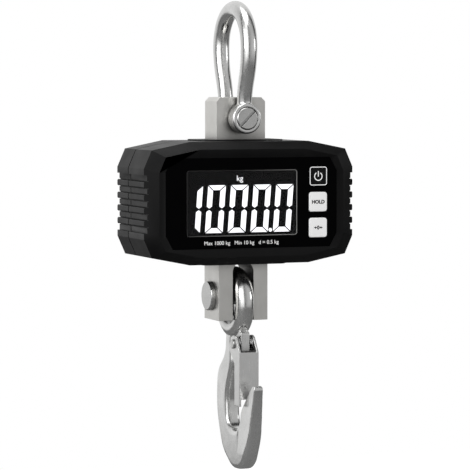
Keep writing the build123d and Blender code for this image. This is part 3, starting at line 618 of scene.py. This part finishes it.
def screwGroup():
    # a socket head screw at every point: its head along +Y, its shank along -Y
    numbers = (
        "Head Radius", "Head Length", "Edge", "Shank Radius", "Shank Length", "Socket Radius", "Socket Depth")
    group, keys, source, out = newGroup("screws", numbers)
    get = source.outputs
    headBody = sumOf(group, get["Head Length"], get["Edge"], "SUBTRACT")
    topRadius = sumOf(group, get["Head Radius"], get["Edge"], "SUBTRACT")
    noRise = sumOf(group, 0, 0)
    shankDepth = sumOf(group, get["Shank Length"], overrun)
    pieces = [
        # shank, head and the broken edge of the head, each with how far up it starts
        (roundBar(group, get["Shank Radius"], get["Shank Radius"], shankDepth, 32),
         sumOf(group, get["Shank Length"], -1, "MULTIPLY")),
        (roundBar(group, get["Head Radius"], get["Head Radius"], headBody, 48), noRise),
        (roundBar(group, get["Head Radius"], topRadius, get["Edge"], 48), headBody),
    ]
    placed = [
        addNode(group, "GeometryNodeTransform", {
            "Geometry": made.outputs["Mesh"], "Translation": along(group, rise)})
        for made, rise in pieces]
    whole = addNode(group, "GeometryNodeMeshBoolean", operation="UNION", solver="EXACT")
    for piece in placed:
        group.links.new(piece.outputs["Geometry"], whole.inputs["Mesh 2"])
    socketDepth = sumOf(group, get["Socket Depth"], overrun)
    hexagon = roundBar(group, get["Socket Radius"], get["Socket Radius"], socketDepth, 6)
    socketRise = sumOf(group, get["Head Length"], get["Socket Depth"], "SUBTRACT")
    socket = addNode(group, "GeometryNodeTransform", {
        "Geometry": hexagon.outputs["Mesh"], "Translation": along(group, socketRise)})
    screw = addNode(group, "GeometryNodeMeshBoolean", {
        "Mesh 1": whole.outputs["Mesh"], "Mesh 2": socket.outputs["Geometry"]},
        operation="DIFFERENCE", solver="EXACT")
    spread = addNode(group, "GeometryNodeInstanceOnPoints", {
        "Points": source.outputs["Geometry"], "Instance": screw.outputs["Mesh"]},
        Rotation=(-math.pi / 2, 0, 0))
    closeGroup(group, spread.outputs["Instances"], source, out)
    return group, keys


screwValues = {
    "Head Radius": 2.75, "Head Length": 2.2, "Edge": 0.3, "Shank Radius": 1.5, "Socket Radius": 1.25,
    "Socket Depth": 1.3}
screwSets = [
    # CAD node, piece, body, how many up; there are always two across
    ("shell_screws", "shellScrews", "housing", 2),
    ("block_screws", "blockScrews", "housing", 2),
    ("door_screws", "doorScrews", "battery_cover", 1),
]
screws, screwKeys = screwGroup()
for node, name, body, rows in screwSets:
    low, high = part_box(node)
    reach, headLength = screwValues["Head Radius"] * mm, screwValues["Head Length"] * mm
    heights = (low.z + reach, high.z - reach) if rows == 2 else ((low.z + high.z) / 2,)
    places = [(x, high.y - headLength, z) for x in (low.x + reach, high.x - reach) for z in heights]
    thing = pointsObject(name, places)
    values = {label: value * mm for label, value in screwValues.items()}
    values["Shank Length"] = high.y - low.y - headLength
    values["Material"] = finishes["screwSteel"]
    runGroup(thing, screws, screwKeys, values)
    smoothShade(thing.data, 35)
    finishPiece(thing, body, finishes["screwSteel"], [node])
    print("screws", name, len(places), len(thing.data.polygons))


springLengths = ("Coil Radius", "Wire Radius", "Pitch", "Leg Length")
springValues = {
    "Coil Radius": 4.2, "Wire Radius": 0.45, "Pitch": 0.95, "Leg Length": 13.0, "Turns": 2.0,
    "Start": 3.7,  # from the middle of the rivet to the first coil
}


def springGroup():
    # a torsion spring: a coil either side of the lug and a straight leg down from each
    group, keys, source, out = newGroup("spring", (*springLengths, "Turns"))
    get = source.outputs
    wire = addNode(group, "GeometryNodeCurvePrimitiveCircle", {"Radius": get["Wire Radius"]}, Resolution=12)
    rise = sumOf(group, get["Pitch"], get["Turns"], "MULTIPLY")
    coil = addNode(group, "GeometryNodeCurveSpiral", {
        "Rotations": get["Turns"], "Start Radius": get["Coil Radius"], "End Radius": get["Coil Radius"],
        "Height": rise}, Resolution=40)
    end = addNode(group, "ShaderNodeCombineXYZ", {"X": get["Coil Radius"], "Z": rise})
    foot = addNode(group, "ShaderNodeCombineXYZ", {
        "X": get["Coil Radius"], "Y": get["Leg Length"], "Z": rise})
    leg = addNode(group, "GeometryNodeCurvePrimitiveLine", {
        "Start": end.outputs["Vector"], "End": foot.outputs["Vector"]})
    both = addNode(group, "GeometryNodeJoinGeometry")
    for curve in (coil, leg):
        swept = addNode(group, "GeometryNodeCurveToMesh", {
            "Curve": curve.outputs["Curve"], "Profile Curve": wire.outputs["Curve"]}, Fill_Caps=True)
        group.links.new(swept.outputs["Mesh"], both.inputs["Geometry"])
    spread = addNode(group, "GeometryNodeInstanceOnPoints", {
        "Points": source.outputs["Geometry"], "Instance": both.outputs["Geometry"]})
    closeGroup(group, spread.outputs["Instances"], source, out)
    return group, keys


def makeSpring(v):
    # the coil is made once along Z, then laid on the rivet's line either side of the lug
    group, keys = springGroup()
    thing = pointsObject("latchSpring", [(0, 0, 0)])
    values = {label: v[label] * mm for label in springLengths}
    values.update({"Turns": v["Turns"], "Material": finishes["springSteel"]})
    runGroup(thing, group, keys, values)
    rivet = middle("latch_rivet")
    work = bmesh.new()
    for side in (1, -1):
        turned = thing.data.copy()
        # Z becomes X, X becomes -Y and Y becomes -Z, mirrored for the other side
        across = Matrix(((0, 0, side, 0), (-1, 0, 0, 0), (0, -1, 0, 0), (0, 0, 0, 1)))
        shift = Matrix.Translation(rivet + Vector((side * v["Start"] * mm, 0, 0)))
        turned.transform(shift @ across)
        work.from_mesh(turned)
    bmesh.ops.remove_doubles(work, verts=work.verts, dist=1e-6)
    turnOutwards(work)
    work.to_mesh(thing.data)
    work.free()
    smoothShade(thing.data, 50)
    finishPiece(thing, "latch", finishes["springSteel"], ["latch_spring"])
    print("spring", len(thing.data.polygons))


makeSpring(springValues)


def lensEdgeHighlightGroup():
    # a thin polished edge round the display's lens, a curve with a square section, which carries a painted
    # highlight
    group, keys, source, out = newGroup("lensEdgeHighlight", ("Width", "Height", "Corner", "Section"))
    get = source.outputs
    frameCurve = addNode(group, "GeometryNodeCurvePrimitiveQuadrilateral", {
        "Width": get["Width"], "Height": get["Height"]})
    soft = addNode(group, "GeometryNodeFilletCurve", {
        "Curve": frameCurve.outputs["Curve"], "Radius": get["Corner"]}, mode="POLY", Count=8)
    section = addNode(group, "GeometryNodeCurvePrimitiveQuadrilateral", {
        "Width": get["Section"], "Height": get["Section"]})
    ring = addNode(group, "GeometryNodeCurveToMesh", {
        "Curve": soft.outputs["Curve"], "Profile Curve": section.outputs["Curve"]})
    spread = addNode(group, "GeometryNodeInstanceOnPoints", {
        "Points": source.outputs["Geometry"], "Instance": ring.outputs["Mesh"]},
        Rotation=(math.pi / 2, 0, 0))
    closeGroup(group, spread.outputs["Instances"], source, out)
    return group, keys


lensEdgeHighlightValues = {"Corner": 1.6, "Section": 0.42, "Inset": 0.5}


def makeLensEdgeHighlight(v):
    low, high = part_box("display_window")
    group, keys = lensEdgeHighlightGroup()
    centre = (low + high) / 2
    thing = pointsObject("lensEdgeHighlight", [(centre.x, low.y - v["Section"] * mm / 4, centre.z)])
    inset = 2 * v["Inset"] * mm
    runGroup(thing, group, keys, {
        "Width": high.x - low.x - inset, "Height": high.z - low.z - inset,
        "Corner": v["Corner"] * mm, "Section": v["Section"] * mm, "Material": finishes["lensEdgeHighlight"]})
    work = bmesh.new()
    work.from_mesh(thing.data)
    turnOutwards(work)
    work.to_mesh(thing.data)
    work.free()
    finishPiece(thing, "housing", finishes["lensEdgeHighlight"])
    print("lens edge", len(thing.data.polygons))


makeLensEdgeHighlight(lensEdgeHighlightValues)

printDepth = 0.03 * mm  # how far a printed mark stands off its face


def printPiece(name, work, faceY, body, finish):
    # shapes drawn in x and z become a thin closed plate whose face looks to the front
    turnOutwards(work)
    mesh = bpy.data.meshes.new(name)
    work.to_mesh(mesh)
    work.free()
    mesh.transform(Matrix.Translation((0, faceY, 0)))
    thing = addObject(name, mesh)
    finishPiece(thing, body, finishes[finish])
    print("print", name, len(mesh.polygons))


def addPlate(work, points):
    # a closed prism from the outline points, its back on y = 0
    front = [work.verts.new((x, -printDepth, z)) for x, z in points]
    back = [work.verts.new((x, 0, z)) for x, z in points]
    work.faces.new(front)
    work.faces.new(list(reversed(back)))
    for k in range(len(points)):
        other = (k + 1) % len(points)
        work.faces.new((front[other], front[k], back[k], back[other]))


def addBand(work, inner, outer, closed=True):
    # a closed flat band between two outlines with the same number of points
    count = len(inner)
    rows = [[work.verts.new((x, y, z)) for x, z in line]
            for line, y in ((inner, -printDepth), (outer, -printDepth), (outer, 0), (inner, 0))]
    for k in range(count if closed else count - 1):
        other = (k + 1) % count
        for r in range(4):
            a, b = rows[r], rows[(r + 1) % 4]
            work.faces.new((a[k], a[other], b[other], b[k]))
    if not closed:
        for k in (0, count - 1):
            work.faces.new([row[k] for row in rows])


def arcPoints(centre, radius, start, end, steps):
    angles = [math.radians(start + (end - start) * k / steps) for k in range(steps + 1)]
    return [(centre[0] + radius * math.cos(a), centre[1] + radius * math.sin(a)) for a in angles]


def squarePoints(centre, size, corner, steps=6):
    # the outline of a square with round corners
    half = size / 2 - corner
    points = []
    for k, (sx, sz) in enumerate(((1, 1), (-1, 1), (-1, -1), (1, -1))):
        at = (centre[0] + sx * half, centre[1] + sz * half)
        points += arcPoints(at, corner, 90 * k, 90 * k + 90, steps)
    return points


def addWords(work, words, height, centre, heavy=0.0):
    # a line of type, scaled to the height of its box and centred
    curve = bpy.data.curves.new("words", "FONT")
    curve.body = words
    curve.resolution_u = 4
    curve.offset = heavy
    holder = addObject("words", curve)
    bpy.context.view_layer.update()
    flat = bpy.data.meshes.new_from_object(holder.evaluated_get(bpy.context.evaluated_depsgraph_get()))
    bpy.data.objects.remove(holder)
    ends = bmesh.new()
    ends.from_mesh(flat)
    bmesh.ops.remove_doubles(ends, verts=ends.verts, dist=1e-5)
    low = [min(v.co[k] for v in ends.verts) for k in (0, 1)]
    high = [max(v.co[k] for v in ends.verts) for k in (0, 1)]
    grow = height / (high[1] - low[1])
    for v in ends.verts:
        x = (v.co.x - (low[0] + high[0]) / 2) * grow + centre[0]
        z = (v.co.y - (low[1] + high[1]) / 2) * grow + centre[1]
        v.co = (x, -printDepth, z)
    made = bmesh.ops.extrude_face_region(ends, geom=ends.faces[:])
    for item in made["geom"]:
        if isinstance(item, bmesh.types.BMVert):
            item.co.y = 0
    mesh = bpy.data.meshes.new("words")
    ends.to_mesh(mesh)
    ends.free()
    work.from_mesh(mesh)


printValues = {
    "unit": {"words": "kg", "height": 4.5, "right": -1.2, "up": 14.85},
    "label": {"words": "Max 1000 kg   Min 10 kg   d = 0.5 kg", "height": 3.1, "right": -7.0, "up": -24.9},
    "hold": {"words": "HOLD", "height": 2.5, "heavy": 0.045},
    "power": {"radius": 2.55, "line": 0.62, "gap": 32, "bar": 3.5, "start": 0.2, "down": 0.2},
    "outline": {"size": 11.7, "corner": 1.5, "line": 0.5},
    "zero": {"height": 2.6, "heavy": 0.045, "width": 1.6, "line": 0.55, "shaft": 0.8, "head": 1.2,
             "flare": 0.75, "gap": 0.1},
}


def makePrints(v):
    lensMiddle, panelMiddle = middle("display_window"), middle("front_panel")
    filmFace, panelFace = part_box("display_digits")[0].y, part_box("front_panel")[0].y
    work = bmesh.new()
    unit = v["unit"]
    addWords(work, unit["words"], unit["height"] * mm,
             (lensMiddle.x + unit["right"] * mm, lensMiddle.z + unit["up"] * mm))
    printPiece("unitSign", work, filmFace, "housing", "signGlow")
    work = bmesh.new()
    label = v["label"]
    addWords(work, label["words"], label["height"] * mm,
             (panelMiddle.x + label["right"] * mm, panelMiddle.z + label["up"] * mm))
    printPiece("ratingLine", work, panelFace, "housing", "printWhiteAndGlow")
    # power key: an outline, a broken ring and a bar
    key = middle("power_key")
    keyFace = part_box("power_key")[0].y
    work = bmesh.new()
    o, p = v["outline"], v["power"]
    centre = (key.x, key.z)
    addBand(work, squarePoints(centre, (o["size"] - 2 * o["line"]) * mm, (o["corner"] - o["line"]) * mm),
            squarePoints(centre, o["size"] * mm, o["corner"] * mm))
    ringAt = (key.x, key.z - p["down"] * mm)
    inner, outer = (p["radius"] - p["line"] / 2) * mm, (p["radius"] + p["line"] / 2) * mm
    addBand(work, arcPoints(ringAt, inner, 90 + p["gap"], 450 - p["gap"], 40),
            arcPoints(ringAt, outer, 90 + p["gap"], 450 - p["gap"], 40), closed=False)
    half, top = p["line"] * mm / 2, ringAt[1] + (p["bar"] - p["start"]) * mm
    low = ringAt[1] - p["start"] * mm
    addPlate(work, [(key.x - half, low), (key.x + half, low), (key.x + half, top), (key.x - half, top)])
    printPiece("powerMark", work, keyFace, "power_button", "printWhiteAndGlow")
    # hold key: its word
    key = middle("hold_key")
    work = bmesh.new()
    hold = v["hold"]
    addWords(work, hold["words"], hold["height"] * mm, (key.x, key.z), hold["heavy"])
    printPiece("holdMark", work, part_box("hold_key")[0].y, "hold_button", "printDark")
    # zero key: a nought between two arrows
    key = middle("zero_key")
    work = bmesh.new()
    z = v["zero"]
    addWords(work, "0", z["height"] * mm, (key.x, key.z), heavy=z["heavy"])
    for side in (-1, 1):
        tip = key.x + side * (z["width"] / 2 + z["gap"]) * mm
        base = tip + side * z["head"] * mm
        end = base + side * z["shaft"] * mm
        thick = z["line"] * mm / 2
        wide = z["head"] * z["flare"] * mm
        points = [(tip, key.z), (base, key.z + wide), (base, key.z + thick), (end, key.z + thick),
                  (end, key.z - thick), (base, key.z - thick), (base, key.z - wide)]
        addPlate(work, points if side < 0 else list(reversed(points)))
    printPiece("zeroMark", work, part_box("zero_key")[0].y, "zero_button", "printDark")


makePrints(printValues)

bpy.context.view_layer.update()
